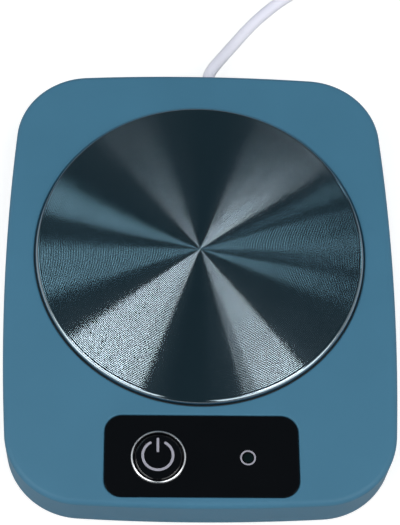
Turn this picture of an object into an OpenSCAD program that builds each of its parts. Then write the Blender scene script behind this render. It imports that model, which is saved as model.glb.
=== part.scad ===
// Electric mug warmer: a flat moulded case with a turned heating plate, a push button
// and an indicator light in a gloss panel, on four rubber feet, with a thin supply lead.
// Millimetres. The feet stand on z = 0, the panel faces -Y and the lead leaves towards +Y.

/* [Case] */
// Width of the case beside the plate's opening
side_margin = 8.5; // [7.6:0.1:12]
// Length of the case behind the opening
rear_margin = 12.5; // [11.5:0.1:16]
// Length of the case in front of the panel
front_margin = 3.2; // [2.8:0.1:6]
// Distance between the panel and the opening
panel_gap = 2.9; // [2.2:0.1:6]
// Radius of the long bowed sides
side_bow_r = 670; // [400:10:1200]
// Radius of the bowed ends
end_bow_r = 620; // [400:10:1200]
// Radius of the four corners
corner_r = 22.5; // [19:0.5:25]
// Radius of the rounded upper edge
edge_r = 2.2; // [1:0.1:3]
// Thickness of the side walls
wall = 2.2; // [1.6:0.1:2.4]
// Thickness of the top
top_t = 2; // [1.8:0.1:2.2]
// Thickness of the bottom cover
base_t = 1.8; // [1.5:0.1:2.2]
// Distance that the bottom cover sits above the rim of the case
base_recess = 0.3; // [0:0.1:0.6]
// Clearance between moulded parts
fit_gap = 0.15; // [0.05:0.01:0.2]

/* [Feet] */
// Diameter of a foot
foot_d = 12; // [8:0.5:14]
// Height of a foot
foot_h = 3.2; // [2.6:0.1:4.5]
// Depth of the seat that a foot is glued into
foot_seat = 0.8; // [0.4:0.1:1]

/* [Heating plate] */
// Diameter of the opening in the case
opening_d = 100; // [90:0.5:110]
// Width of the gap between the plate and the opening
plate_gap = 0.4; // [0.3:0.05:0.8]
// Height of the plate above the case
plate_rise = 1.4; // [0.8:0.1:2.5]
// Thickness of the plate's face
plate_t = 2.4; // [2:0.1:2.8]
// Width of the bright bevel round the face
bevel_w = 0.8; // [0.4:0.1:1.2]
// Thickness of the plate's skirt
skirt_t = 2.2; // [1.4:0.1:3]
// Width of the flange outside the skirt
flange_w = 2.8; // [2.2:0.1:2.9]
// Thickness of the flange
flange_t = 1.4; // [1:0.1:1.6]
// Thickness of the seal on the flange
seal_t = 0.4; // [0.3:0.1:0.6]
// Radius of the opening's rounded lip
lip_r = 0.7; // [0.3:0.1:1]

/* [Heater] */
// Distance between the heating disc and the plate's skirt
heater_margin = 6.4; // [5:0.1:9]
// Thickness of the heating disc
heater_t = 1; // [0.6:0.1:1.2]
// Thickness of the insulation disc
insulation_t = 1.2; // [0.8:0.1:1.4]
// Thickness of the steel clamp plate
clamp_t = 0.8; // [0.6:0.1:1]
// Distance that the insulation and the clamp plate reach past the heating disc
clamp_margin = 2; // [1:0.5:3]
// Distance of the clamp screws from the middle of the plate
stud_reach = 26; // [22:1:30]
// Diameter of the studs under the plate
stud_d = 6; // [5:0.5:7]
// Diameter of the temperature sensor
sensor_d = 4.4; // [3:0.2:5]
// Diameter of the cut-out fuse's sleeve
fuse_d = 4; // [3:0.2:4.4]
// Length of the cut-out fuse's sleeve
fuse_l = 18; // [14:1:22]

/* [Panel] */
// Width of the gloss panel
panel_w = 55.6; // [50:0.2:62]
// Length of the gloss panel
panel_l = 24.4; // [22:0.2:28]
// Radius of the panel's corners
panel_r = 5; // [3:0.5:7]
// Thickness of the panel
panel_t = 1.2; // [0.8:0.1:1.4]
// Depth of the panel's face below the case
panel_drop = 0.05; // [0:0.05:0.2]
// Width of the polished bevel round the panel
panel_bevel = 0.2; // [0.1:0.05:0.4]
// Thickness of the pad below the panel's floor
pad_t = 1; // [0.6:0.1:1.2]

/* [Button and light] */
// Distance from the panel's left end to the middle of the button
button_inset = 15.4; // [14:0.1:17]
// Diameter of the bright ring round the button
bezel_d = 15.7; // [14:0.1:16]
// Width of the bright ring
bezel_w = 0.8; // [0.6:0.1:1]
// Height of the bright ring above the panel
bezel_rise = 0.7; // [0.4:0.1:1.2]
// Height of the button's face above the panel
cap_rise = 0.25; // [0.1:0.05:0.5]
// Radius of the button's rounded edge
cap_edge_r = 0.6; // [0.3:0.1:0.9]
// Clearance between the button and its ring
cap_gap = 0.1; // [0.05:0.01:0.1]
// Travel of the button
travel = 0.5; // [0.3:0.05:0.6]
// Distance from the panel's right end to the middle of the light
light_inset = 14.5; // [13:0.1:16]
// Diameter of the light's window
light_d = 3.7; // [3:0.1:4.4]

/* [Circuit board] */
// Width of the board
board_w = 52; // [47:0.5:58]
// Length of the board
board_l = 22; // [20:0.2:24]
// Thickness of the board
board_t = 1.6; // [1:0.1:2]
// Distance between the front wall and the board
board_inset = 2.2; // [1.5:0.1:3]
// Clearance between the board's screws and the bottom cover
board_gap = 0.7; // [0.5:0.1:3]
// Height of the switch on the board
switch_h = 3.4; // [3:0.1:4.5]
// Length of the plunger that stands out of the switch
plunger_rise = 0.7; // [0.65:0.05:1]
// Diameter of the plunger
plunger_d = 3.5; // [3:0.1:3.9]
// Width of a wire socket
socket_w = 6.6; // [6:0.1:7]
// Height of a wire socket
socket_h = 4.5; // [4:0.1:4.6]
// Distance between two wire sockets
socket_gap = 1.4; // [1:0.1:2]

/* [Screws] */
// Shank diameter of the case screws
case_screw_d = 2.6; // [2.2:0.1:3]
// Shank diameter of the small screws
small_screw_d = 2; // [1.6:0.1:2.2]
// Play between a shank and its pilot hole
screw_play = 0.05; // [0.02:0.01:0.1]
// Distance from the wall to a case screw
screw_inset = 5; // [4.9:0.1:6]
// Length of a board screw's thread in its boss
board_thread = 4.5; // [3:0.1:5]
// Length of a plate screw's thread above the boss
plate_thread = 1; // [0.8:0.1:1.1]
// Thickness of the washers under the plate screws
washer_t = 0.6; // [0.4:0.1:0.8]

/* [Lead] */
// Diameter of the supply lead
cord_d = 3.8; // [3.4:0.1:4]
// Position of the lead across the case
cord_x = 3.4; // [2:0.1:4]
// Clearance between the relief's flange and the bottom cover
relief_gap = 0.4; // [0.2:0.1:0.8]
// Length of the relief collar outside the wall
collar_l = 2.2; // [1.6:0.1:3]

/* [Hidden] */
$fn = 72;
round_fn = 144;
bow_steps = 10;
corner_steps = 20;
edge_steps = 6;

// Lengths along the case
body_w = opening_d + 2 * side_margin;
body_l = front_margin + panel_l + panel_gap + opening_d + rear_margin;
panel_y = front_margin + panel_l / 2 - body_l / 2;
plate_y = panel_y + panel_l / 2 + panel_gap + opening_d / 2;
board_y = wall + board_inset + board_l / 2 - body_l / 2;

// Heights: what stands on the bottom cover sets the height of the case
base_z = foot_h - foot_seat;
rim_z = base_z - base_recess;
floor_z = base_z + base_t;
small_head_r = 1.9;
small_head_h = 1.4;
board_z = floor_z + board_gap + small_head_h;
board_top = board_z + board_t;
switch_top = board_top + switch_h;
plunger_top = switch_top + plunger_rise;
stem_drop = 0.4;
stop_t = 1;
stop_gap = 0.1;
stop_z = plunger_top + stem_drop + stop_t;
pad_z = stop_z + stop_gap;
ceil_z = pad_z + pad_t;
top_z = ceil_z + top_t;
plate_z = top_z + plate_rise;
cup_z = plate_z - plate_t;
flange_z = ceil_z - seal_t;
heater_z = cup_z - heater_t;
insulation_z = heater_z - insulation_t;
clamp_z = insulation_z - clamp_t;
panel_z = top_z - panel_drop;
panel_floor_z = panel_z - panel_t;

// Bowed outline: one arc for each side and corner, tangent to its neighbours
side_c = body_w / 2 - side_bow_r;
end_c = body_l / 2 - end_bow_r;
arc_gap = norm([side_c, end_c]);
side_reach = side_bow_r - corner_r;
end_reach = end_bow_r - corner_r;
arc_along = (side_reach * side_reach - end_reach * end_reach + arc_gap * arc_gap) / (2 * arc_gap);
arc_across = sqrt(side_reach * side_reach - arc_along * arc_along);
arc_dir = [-side_c, end_c] / arc_gap;
corner_x = side_c + arc_dir[0] * arc_along - arc_dir[1] * arc_across;
corner_y = arc_dir[1] * arc_along + arc_dir[0] * arc_across;
side_a = atan2(corner_y, corner_x - side_c);
end_a = atan2(corner_x, corner_y - end_c);

// Heating plate
plate_r = opening_d / 2 - plate_gap;
flange_r = plate_r + flange_w;
cup_r = plate_r - skirt_t;
heater_r = cup_r - heater_margin;
clamp_r = heater_r + clamp_margin;
heater_tab_x = 8;
heater_tab_w = 3;
plate_boss_r = 2.4;
plate_head_r = 2.2;
washer_r = 4;
plate_screw_reach = flange_r + plate_boss_r + 2 * fit_gap;

// Screws and bosses
case_boss_r = 3.2;
well_r = 3.1;
well_wall = 1.4;
well_floor = 1.4;
case_head_h = 2;
case_head_r = 2.7;
case_head_z = base_z + 0.5;
well_z = case_head_z + case_head_h + well_floor;
screw_reach = corner_r - wall - screw_inset;
screw_x = corner_x + screw_reach * cos(45);
screw_y = corner_y + screw_reach * sin(45);

// Button, switch and board
ctrl_drop = 0.55;
ctrl_y = panel_y - ctrl_drop;
button_x = button_inset - panel_w / 2;
light_x = panel_w / 2 - light_inset;
bezel_in_r = bezel_d / 2 - bezel_w;
sleeve_r = bezel_d / 2 - 0.35;
cap_r = bezel_in_r - cap_gap;
cap_z = panel_z + cap_rise;
cap_wall = 1;
board_boss_r = 2.2;
board_screw_inset = 2.8;
board_screw_x = board_w / 2 - board_screw_inset;
board_screw_y = board_l / 2 - board_screw_inset;
switch_w = 6;
plunger_l = 2.5;
socket_y = board_y + board_l / 2;
socket_l = 5.7;
sensor_socket_x = board_screw_x - board_boss_r - socket_gap - socket_w / 2;
heater_socket_x = sensor_socket_x - socket_w - socket_gap;
supply_socket_x = heater_socket_x - socket_w - socket_gap;
pin_z = board_top + socket_h / 2 - 0.4;

// Lead, coil and plug
cord_r = cord_d / 2;
relief_r = 2.9;
relief_flange_r = 4;
relief_flange_t = 1.5;
cord_z = floor_z + relief_gap + relief_flange_r;
relief_l = collar_l + wall + fit_gap + relief_flange_t;
inner_y = body_l / 2 - wall;
exit_y = body_l / 2 + collar_l;
clamp_bar_y = exit_y - relief_l - 2.3;
clamp_bar_l = 4;
clamp_bar_w = 17;
clamp_screw_x = 6.4;
clamp_bar_z = cord_z - cord_r - 1.6;
clamp_split_z = cord_z - 0.3;
lead_end_y = clamp_bar_y - 4.5;
lead_route = [
  [cord_x, exit_y, cord_z], [cord_x, 74.7, cord_z], [3.8, 76.6, 8.4], [5.1, 79.6, 7.6], [7, 83, 6.3],
  [9.6, 87.4, 4.6], [12.8, 92.5, 3], [16.6, 98, 2.1], [21.3, 103.5, 1.9],
  [26.8, 108.8, 1.9], [32.6, 113.4, 1.9], [38.6, 117.5, 1.9], [45.8, 121.6, 1.9]
];
tail_route = [
  [33.5, 177.1, 5.7], [27, 177.4, 5.4], [20, 177.7, 4.8], [13, 177.8, 4.2],
  [8, 177.8, 3.9], [6, 177.8, 3.9]
];
coil_at = [33.5, 148];
coil_r = 20.9;
coil_band = 20.2;
tie_w = 5;
tie_t = 0.8;
plug_at = tail_route[5];
plug_l = 22;
plug_w = 15.6;
plug_h = 2 * plug_at[2];
usb_w = 12;
usb_h = 4.5;
usb_l = 12;
usb_wall = 0.3;

// ---------------------------------------------------------------- shared shapes

// Points along an arc, without its last one, which the next arc starts with
function arc(at, r, from, to, steps) =
  [for (k = [0:steps - 1]) let (t = from + (to - from) * k / steps) at + r * [cos(t), sin(t)]];

// Right side, rear corner, rear end and left corner of the case, drawn in by inset
function half_outline(inset) = concat(
  arc([side_c, 0], side_bow_r - inset, -side_a, side_a, bow_steps),
  arc([corner_x, corner_y], corner_r - inset, side_a, 90 - end_a, corner_steps),
  arc([0, end_c], end_bow_r - inset, 90 - end_a, 90 + end_a, bow_steps),
  arc([-corner_x, corner_y], corner_r - inset, 90 + end_a, 180 - side_a, corner_steps)
);

function outline_points(inset) = concat(half_outline(inset), -half_outline(inset));

function outline_ring(inset, z) = [for (p = outline_points(inset)) [p[0], p[1], z]];

module outline(inset) {
  polygon(outline_points(inset));
}

// Solid through a list of rings with the same number of points, lowest ring first
module loft(rings) {
  n = len(rings[0]);
  last = len(rings) - 1;
  polyhedron(
    points = [for (r = rings) each r],
    faces = concat(
      [[for (k = [0:n - 1]) k]],
      [for (i = [0:last - 1], k = [0:n - 1]) [i * n + k, (i + 1) * n + k, (i + 1) * n + (k + 1) % n]],
      [for (i = [0:last - 1], k = [0:n - 1]) [i * n + k, (i + 1) * n + (k + 1) % n, i * n + (k + 1) % n]],
      [[for (k = [n - 1:-1:0]) last * n + k]]
    )
  );
}

// Solid form of the case with its rounded upper edge
module case_block() {
  loft(concat(
    [outline_ring(0, rim_z)],
    [for (k = [0:edge_steps]) let (t = 90 * k / edge_steps)
      outline_ring(edge_r * (1 - cos(t)), top_z - edge_r + edge_r * sin(t))]
  ));
}

// Rounded slab on z = 0 whose edge leans out by lean over its height
module slab(w, l, r, h, lean = 0) {
  for (x = [-1, 1], y = [-1, 1])
    translate([x * (w / 2 - r), y * (l / 2 - r), 0]) cylinder(r1 = r, r2 = r + lean, h = h);
  rotate([90, 0, 90]) translate([0, 0, r - w / 2]) linear_extrude(height = w - 2 * r)
    polygon([[-l / 2, 0], [l / 2, 0], [l / 2 + lean, h], [-l / 2 - lean, h]]);
  rotate([90, 0, 0]) translate([0, 0, r - l / 2]) linear_extrude(height = l - 2 * r)
    polygon([[-w / 2, 0], [w / 2, 0], [w / 2 + lean, h], [-w / 2 - lean, h]]);
}

module box(w, l, h) {
  translate([-w / 2, -l / 2, 0]) cube([w, l, h]);
}

// Children at the middle of the heating plate
module at_plate() {
  translate([0, plate_y, 0]) children();
}

module at_plate_screws() {
  at_plate() for (a = [45:90:315]) rotate([0, 0, a]) translate([plate_screw_reach, 0, 0]) children();
}

module at_studs() {
  at_plate() for (a = [90, 210, 330]) rotate([0, 0, a]) translate([stud_reach, 0, 0]) children();
}

module at_case_screws() {
  for (x = [-1, 1], y = [-1, 1]) translate([x * screw_x, y * screw_y, 0]) children();
}

module at_feet() {
  for (x = [-1, 1], y = [-1, 1]) translate([x * corner_x, y * corner_y, 0]) children();
}

module at_board_screws() {
  for (x = [-1, 1], y = [-1, 1])
    translate([x * board_screw_x, board_y + y * board_screw_y, 0]) children();
}

module at_cord_screws() {
  for (x = [-1, 1]) translate([cord_x + x * clamp_screw_x, clamp_bar_y, 0]) children();
}

// Screw pointing up, with its head's upper face on z = 0 and a cross in its head
module screw(d, l, head_r, head_h) {
  difference() {
    union() {
      cylinder(d = d, h = l);
      translate([0, 0, -head_h]) rotate_extrude() difference() {
        square([head_r, head_h]);
        translate([head_r - head_h / 3, 0]) difference() {
          square(head_h / 3);
          translate([0, head_h / 3]) circle(r = head_h / 3);
        }
      }
    }
    for (a = [0, 90]) rotate([0, 0, a])
      translate([0, 0, -head_h - 0.01]) box(head_r * 1.2, head_r / 4, head_h / 2);
  }
}

// Round bar swept along a list of points; ref is never along the route
function unit(v) = v / norm(v);
function heading(p, i) = unit(p[min(i + 1, len(p) - 1)] - p[max(i - 1, 0)]);
function ring(at, t, ref, r, n) =
  let (u = unit(cross(t, ref)), v = cross(u, t))
  [for (k = [0:n - 1]) at + r * (u * cos(360 * k / n) + v * sin(360 * k / n))];

module bar(route, r, ref, n = 8) {
  last = len(route) - 1;
  polyhedron(
    points = [for (i = [0:last]) each ring(route[i], heading(route, i), ref, r, n)],
    faces = concat(
      [[for (k = [0:n - 1]) k]],
      [for (i = [0:last - 1], k = [0:n - 1])
        [i * n + k, (i + 1) * n + k, (i + 1) * n + (k + 1) % n, i * n + (k + 1) % n]],
      [[for (k = [n - 1:-1:0]) last * n + k]]
    )
  );
}

// ---------------------------------------------------------------- case

module top_cover() {
  color("#46748d") difference() {
    union() {
      difference() {
        case_block();
        translate([0, 0, rim_z - 1]) linear_extrude(height = ceil_z - rim_z + 1) outline(wall);
      }
      translate([0, panel_y, pad_z]) slab(panel_w - 2, panel_l - 2, panel_r - 1, pad_t + 0.2);
      at_plate_screws() translate([0, 0, flange_z - flange_t + screw_play])
        cylinder(r = plate_boss_r, h = seal_t + flange_t);
      at_board_screws() translate([0, 0, board_top]) cylinder(r = board_boss_r, h = ceil_z - board_top);
      at_case_screws() translate([0, 0, well_z]) cylinder(r = case_boss_r, h = ceil_z - well_z);
      for (x = [-1, 1], y = [-1, 1])
        translate([x * screw_x, y * screw_y, well_z + 1]) rotate([0, 0, atan2(y, x)])
          translate([case_boss_r / 2, -0.6, 0]) cube([screw_inset, 1.2, ceil_z - well_z - 1]);
      at_cord_screws() translate([0, 0, clamp_split_z + fit_gap])
        cylinder(r = board_boss_r, h = ceil_z - clamp_split_z - fit_gap);
      translate([cord_x, clamp_bar_y, cord_z + cord_r]) box(cord_d, clamp_bar_l, ceil_z - cord_z - cord_r);
    }
    at_plate() {
      cylinder(d = opening_d, h = 2 * top_z, $fn = round_fn);
      translate([0, 0, top_z - lip_r]) rotate_extrude($fn = round_fn)
        translate([opening_d / 2 - 1, 0]) difference() {
          square([1 + lip_r, 2 * lip_r]);
          translate([1 + lip_r, 0]) circle(r = lip_r);
        }
    }
    translate([0, panel_y, panel_floor_z])
      slab(panel_w + 2 * fit_gap, panel_l + 2 * fit_gap, panel_r + fit_gap, 2 * panel_t);
    translate([0, panel_y, top_z - 0.3])
      slab(panel_w + 2 * fit_gap, panel_l + 2 * fit_gap, panel_r + fit_gap, 0.4, 0.4);
    translate([button_x, ctrl_y, 0]) cylinder(r = sleeve_r + screw_play, h = 2 * top_z);
    translate([light_x, ctrl_y, 0]) cylinder(d = light_d + 2 * screw_play, h = 2 * top_z);
    at_plate_screws() cylinder(d = small_screw_d + 2 * screw_play, h = ceil_z + plate_thread + 0.2);
    at_board_screws() cylinder(d = small_screw_d + 2 * screw_play, h = board_top + board_thread + 0.5);
    at_case_screws() cylinder(d = case_screw_d + 2 * screw_play, h = ceil_z - 1);
    at_cord_screws() cylinder(d = small_screw_d + 2 * screw_play, h = ceil_z - 1);
    relief_notch(screw_play);
  }
}

// Slot in the rear wall, open at the rim, that the relief's neck drops into
module relief_notch(gap) {
  r = relief_r + gap;
  translate([cord_x, body_l / 2 + 1, cord_z]) rotate([90, 0, 0]) cylinder(r = r, h = wall + 2);
  translate([cord_x - r, body_l / 2 - wall - 1, 0]) cube([2 * r, wall + 2, cord_z]);
}

// Bottom cover: a flat lid with screw wells, a round rib, eight spokes, vent slots and a
// tongue that closes the notch below the relief
module bottom_cover() {
  rib_t = 1.2;
  rib_h = 1;
  rib_in_r = 34.4;
  vent_x = 15;
  vent_l = 18;
  vent_w = 2;
  vent_pitch = 6;
  tongue_w = 2 * relief_r - fit_gap;
  color("#2f4653") difference() {
    union() {
      translate([0, 0, base_z]) linear_extrude(height = base_t) outline(wall + fit_gap);
      at_case_screws() translate([0, 0, base_z]) cylinder(r = well_r + well_wall, h = well_z - base_z);
      at_plate() translate([0, 0, floor_z]) {
        difference() {
          cylinder(r = rib_in_r + rib_t, h = rib_h);
          cylinder(r = rib_in_r, h = rib_h);
        }
        for (a = [22.5:45:337.5]) rotate([0, 0, a])
          translate([rib_in_r + rib_t / 2, -rib_t / 2, 0]) cube([cup_r - 4 - rib_in_r, rib_t, rib_h]);
      }
      translate([cord_x - tongue_w / 2, inner_y - 1.5, base_z]) cube([tongue_w, wall + 1.3, base_t]);
      translate([cord_x - tongue_w / 2, inner_y + 0.1, base_z]) cube([tongue_w, wall - 0.3, cord_z - base_z]);
    }
    translate([cord_x, body_l / 2 + 1, cord_z]) rotate([90, 0, 0]) cylinder(r = relief_r + screw_play, h = 6);
    at_case_screws() {
      cylinder(r = well_r, h = well_z - well_floor);
      cylinder(d = case_screw_d + 0.4, h = 2 * well_z);
    }
    at_feet() cylinder(d = foot_d + 2 * fit_gap, h = foot_h);
    at_plate() for (s = [-1, 1], k = [-3:3]) translate([s * vent_x, k * vent_pitch, 0]) {
      for (e = [-1, 1]) translate([e * vent_l / 2, 0, 0]) cylinder(d = vent_w, h = 2 * floor_z, $fn = 32);
      box(vent_l, vent_w, 2 * floor_z);
    }
  }
}

module feet() {
  round_r = 0.8;
  color("#1c1d1e") at_feet() rotate_extrude() {
    square([foot_d / 2 - round_r, foot_h]);
    translate([0, round_r]) square([foot_d / 2, foot_h - round_r]);
    translate([foot_d / 2 - round_r, round_r]) circle(r = round_r);
  }
}

module case_screws() {
  color("silver") at_case_screws() translate([0, 0, case_head_z + case_head_h])
    screw(case_screw_d, ceil_z - 1.5 - case_head_z - case_head_h, case_head_r, case_head_h);
}

// ---------------------------------------------------------------- heating plate

module heating_plate() {
  foot_z = flange_z - flange_t;
  color("#3a5660") difference() {
    union() {
      at_plate() rotate_extrude($fn = round_fn)
        polygon([
          [0, cup_z], [cup_r, cup_z], [cup_r, foot_z], [flange_r, foot_z], [flange_r, flange_z],
          [plate_r, flange_z], [plate_r, plate_z - bevel_w], [plate_r - bevel_w, plate_z], [0, plate_z]
        ]);
      at_studs() translate([0, 0, insulation_z + screw_play])
        cylinder(d = stud_d, h = cup_z - insulation_z);
    }
    at_studs() cylinder(d = case_screw_d + 2 * screw_play, h = plate_z - 1.2);
  }
}

module plate_seal() {
  color("#101416") at_plate() rotate_extrude($fn = round_fn)
    polygon([
      [plate_r + screw_play, flange_z], [flange_r, flange_z], [flange_r, ceil_z],
      [opening_d / 2 - screw_play, ceil_z], [opening_d / 2 - screw_play, top_z - lip_r],
      [plate_r + screw_play, top_z - lip_r]
    ]);
}

module plate_screws() {
  color("silver") at_plate_screws() translate([0, 0, flange_z - flange_t - washer_t]) {
    cylinder(r = washer_r, h = washer_t);
    screw(small_screw_d, washer_t + flange_t + seal_t + plate_thread, plate_head_r, small_head_h);
  }
}

module heater_disc() {
  tab_l = 5;
  color("#b8a46a") difference() {
    union() {
      at_plate() translate([0, 0, heater_z]) cylinder(r = heater_r, h = heater_t, $fn = round_fn);
      for (s = [-1, 1])
        translate([heater_tab_x + s * heater_tab_w, plate_y - heater_r - tab_l / 2 + 2, heater_z])
          box(heater_tab_w, tab_l, heater_t);
    }
    at_studs() cylinder(d = stud_d + 2 * fit_gap, h = 2 * top_z);
    at_plate() cylinder(d = sensor_d + 2 * fit_gap, h = 2 * top_z);
  }
}

module insulation_disc() {
  color("#d8d2c0") difference() {
    at_plate() translate([0, 0, insulation_z]) cylinder(r = clamp_r, h = insulation_t, $fn = round_fn);
    clamp_holes(stud_d + 2 * fit_gap);
  }
}

// Holes and the wire notch that the insulation and the clamp plate share
module clamp_holes(d) {
  at_studs() cylinder(d = d, h = 2 * top_z);
  at_plate() cylinder(d = sensor_d + 2 * fit_gap, h = 2 * top_z);
  translate([heater_tab_x, plate_y - heater_r - 1.5, 0]) box(3 * heater_tab_w + 2, 5, 2 * top_z);
}

module clamp_plate() {
  rim = 1.2;
  color("#9aa0a4") difference() {
    at_plate() translate([0, 0, clamp_z]) {
      cylinder(r = clamp_r, h = clamp_t, $fn = round_fn);
      translate([0, 0, -rim]) difference() {
        cylinder(r = clamp_r, h = rim, $fn = round_fn);
        cylinder(r = clamp_r - clamp_t, h = rim, $fn = round_fn);
      }
    }
    clamp_holes(case_screw_d + 0.4);
    for (a = [30, 150, 270]) at_plate() rotate([0, 0, a]) translate([stud_reach + 6, 0, 0])
      cylinder(d = 6, h = 2 * top_z);
  }
}

module clamp_screws() {
  color("silver") at_studs() translate([0, 0, clamp_z])
    screw(case_screw_d, plate_z - 1.5 - clamp_z, case_head_r, 1.9);
}

module temperature_sensor() {
  color("#c9ced1") at_plate() {
    translate([0, 0, clamp_z - 1.6]) cylinder(d = sensor_d, h = cup_z - clamp_z + 1.6);
    translate([0, 0, clamp_z - 0.8]) cylinder(d = sensor_d + 4, h = 0.8);
  }
}

// ---------------------------------------------------------------- cut-out fuse

fuse_at = [-20, plate_y + 8, clamp_z - fuse_d / 2];

module fuse_sleeve() {
  color("#efe9dc") translate(fuse_at) rotate([0, 90, 0]) cylinder(d = fuse_d, h = fuse_l, center = true);
}

module fuse_clip() {
  clip_w = 5;
  strap = 0.5;
  color("#9aa0a4") translate([fuse_at[0] - clip_w / 2, fuse_at[1], fuse_at[2]]) {
    difference() {
      union() {
        rotate([0, 90, 0]) cylinder(d = fuse_d + 2 * strap, h = clip_w);
        translate([0, -fuse_d / 2 - strap, 0]) cube([clip_w, fuse_d + 2 * strap, fuse_d / 2]);
        translate([0, -fuse_d / 2 - 4, fuse_d / 2 - strap]) cube([clip_w, fuse_d + 8, strap]);
      }
      translate([-1, 0, 0]) rotate([0, 90, 0]) cylinder(d = fuse_d + 2 * screw_play, h = clip_w + 2);
      translate([-1, -fuse_d / 2 - screw_play, 0]) cube([clip_w + 2, fuse_d + 2 * screw_play, fuse_d]);
    }
  }
}

// ---------------------------------------------------------------- panel, button and light

module panel_lens() {
  color("#0b0c0e") difference() {
    translate([0, panel_y, panel_floor_z]) {
      slab(panel_w, panel_l, panel_r, panel_t - panel_bevel);
      translate([0, 0, panel_t - panel_bevel]) slab(panel_w, panel_l, panel_r, panel_bevel, -panel_bevel);
    }
    translate([button_x, ctrl_y, 0]) cylinder(r = sleeve_r + screw_play, h = 2 * top_z);
    translate([light_x, ctrl_y, 0]) cylinder(d = light_d + 2 * screw_play, h = 2 * top_z);
  }
}

module button_bezel() {
  crown = bezel_w / 2;
  color("#e4e7ea") translate([button_x, ctrl_y, 0]) rotate_extrude($fn = round_fn) {
    translate([bezel_in_r, pad_z]) square([sleeve_r - bezel_in_r, panel_z - pad_z]);
    translate([bezel_in_r, panel_z]) {
      square([bezel_w, bezel_rise - crown]);
      intersection() {
        square([bezel_w, bezel_rise]);
        translate([crown, bezel_rise - crown]) circle(r = crown);
      }
    }
  }
}

// Hollow cap with a stop flange below the ring, a middle stem on the switch and eight ribs
module power_button() {
  stem_r = plunger_d / 2 + 0.4;
  roof_z = cap_z - cap_wall;
  inner_r = cap_r - cap_wall;
  rib_t = 0.8;
  rib_h = 1.5;
  sink = 0.2;
  color("#101113") translate([button_x, ctrl_y, 0]) {
    rotate_extrude($fn = round_fn) {
      difference() {
        union() {
          square_to(cap_r, stop_z - stop_t, cap_z - cap_edge_r);
          square_to(cap_r - cap_edge_r, cap_z - cap_edge_r, cap_z);
          translate([cap_r - cap_edge_r, cap_z - cap_edge_r]) circle(r = cap_edge_r);
          square_to(sleeve_r, stop_z - stop_t, stop_z);
        }
        square_to(inner_r, stop_z - stop_t - 1, roof_z);
      }
      square_to(stem_r, plunger_top, roof_z);
    }
    for (a = [0:45:315]) rotate([0, 0, a]) translate([stem_r - sink, -rib_t / 2, roof_z - rib_h])
      cube([inner_r - stem_r + 2 * sink, rib_t, rib_h + sink]);
  }
}

// Rectangle from the axis to r between two heights
module square_to(r, from, to) {
  translate([0, from]) square([r, to - from]);
}

module switch_plunger() {
  color("#d9d4c6") translate([button_x, ctrl_y, plunger_top - plunger_l])
    cylinder(d = plunger_d, h = plunger_l);
}

module switch_body() {
  color("#2a2c2f") translate([button_x, ctrl_y, board_top]) difference() {
    union() {
      slab(switch_w, switch_w, 0.6, switch_h);
      for (x = [-1, 1], y = [-1, 1]) translate([x * 3.6, y * 2.2, 0]) box(1.4, 0.7, 0.4);
    }
    translate([0, 0, plunger_top - plunger_l - travel - 0.1 - board_top])
      cylinder(d = plunger_d + 2 * cap_gap, h = switch_h);
  }
}

module light_window() {
  guide_r = light_d / 2 - 0.35;
  color("#16282d") translate([light_x, ctrl_y, 0]) {
    translate([0, 0, pad_z - 0.6]) cylinder(r = light_d / 2 + 0.7, h = 0.6);
    translate([0, 0, pad_z - 0.1]) cylinder(d = light_d, h = panel_z - 0.05 - pad_z + 0.1);
    translate([0, 0, board_top + 0.9]) cylinder(r = guide_r, h = pad_z - 0.5 - board_top);
  }
}

module light_emitter() {
  color("#e9efe2") translate([light_x, ctrl_y, board_top]) {
    box(3.2, 1.6, 0.4);
    translate([0, 0, 0.4]) cylinder(r = 0.7, h = 0.4);
  }
}

// ---------------------------------------------------------------- circuit board

module circuit_board() {
  color("#1f5a3a") difference() {
    translate([0, board_y, board_z]) slab(board_w, board_l, 1.5, board_t);
    at_board_screws() cylinder(d = small_screw_d + 0.3, h = 2 * top_z);
  }
}

module board_screws() {
  color("silver") at_board_screws() translate([0, 0, board_z])
    screw(small_screw_d, board_t + board_thread, small_head_r, small_head_h);
}

module control_chip() {
  color("#17181a") translate([0, board_y - 6, board_top]) {
    box(4.9, 3.9, 1.5);
    for (x = [-1.9:1.27:1.95], y = [-1, 1]) translate([x, y * 2.6, 0]) box(0.4, 1.4, 0.5);
  }
}

module power_transistor() {
  color("#1b1c1e") translate([4.5, board_y + 0.5, board_top]) {
    box(6.5, 5, 2.3);
    translate([0, 3, 0]) box(5.4, 1.2, 0.6);
  }
}

module capacitor() {
  color("#c7cbce") translate([board_screw_x - board_boss_r - 3.7, board_y - 6.4, board_top]) {
    slab(6.6, 6.6, 1, 0.8);
    cylinder(d = 6.2, h = 4.6);
  }
}

module resistors() {
  color("#222426") for (k = [0:5])
    translate([-3 + 2.2 * k, board_y - 10, board_top]) box(1.2, 0.9, 0.5);
}

module wire_sockets() {
  color("#e9e4d6") for (x = [supply_socket_x, heater_socket_x, sensor_socket_x])
    translate([x, socket_y - socket_l / 2, board_top]) difference() {
      box(socket_w, socket_l, socket_h);
      for (s = [-1, 1]) translate([s * 1.5, -socket_l / 2 - 1 + 1.6, socket_h - 1.6]) box(1.2, 2, 1.2);
    }
}

// ---------------------------------------------------------------- wires inside

// Place between two others, as a share of the way from the first
function between(a, b, share) = a + (b - a) * share;

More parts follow.
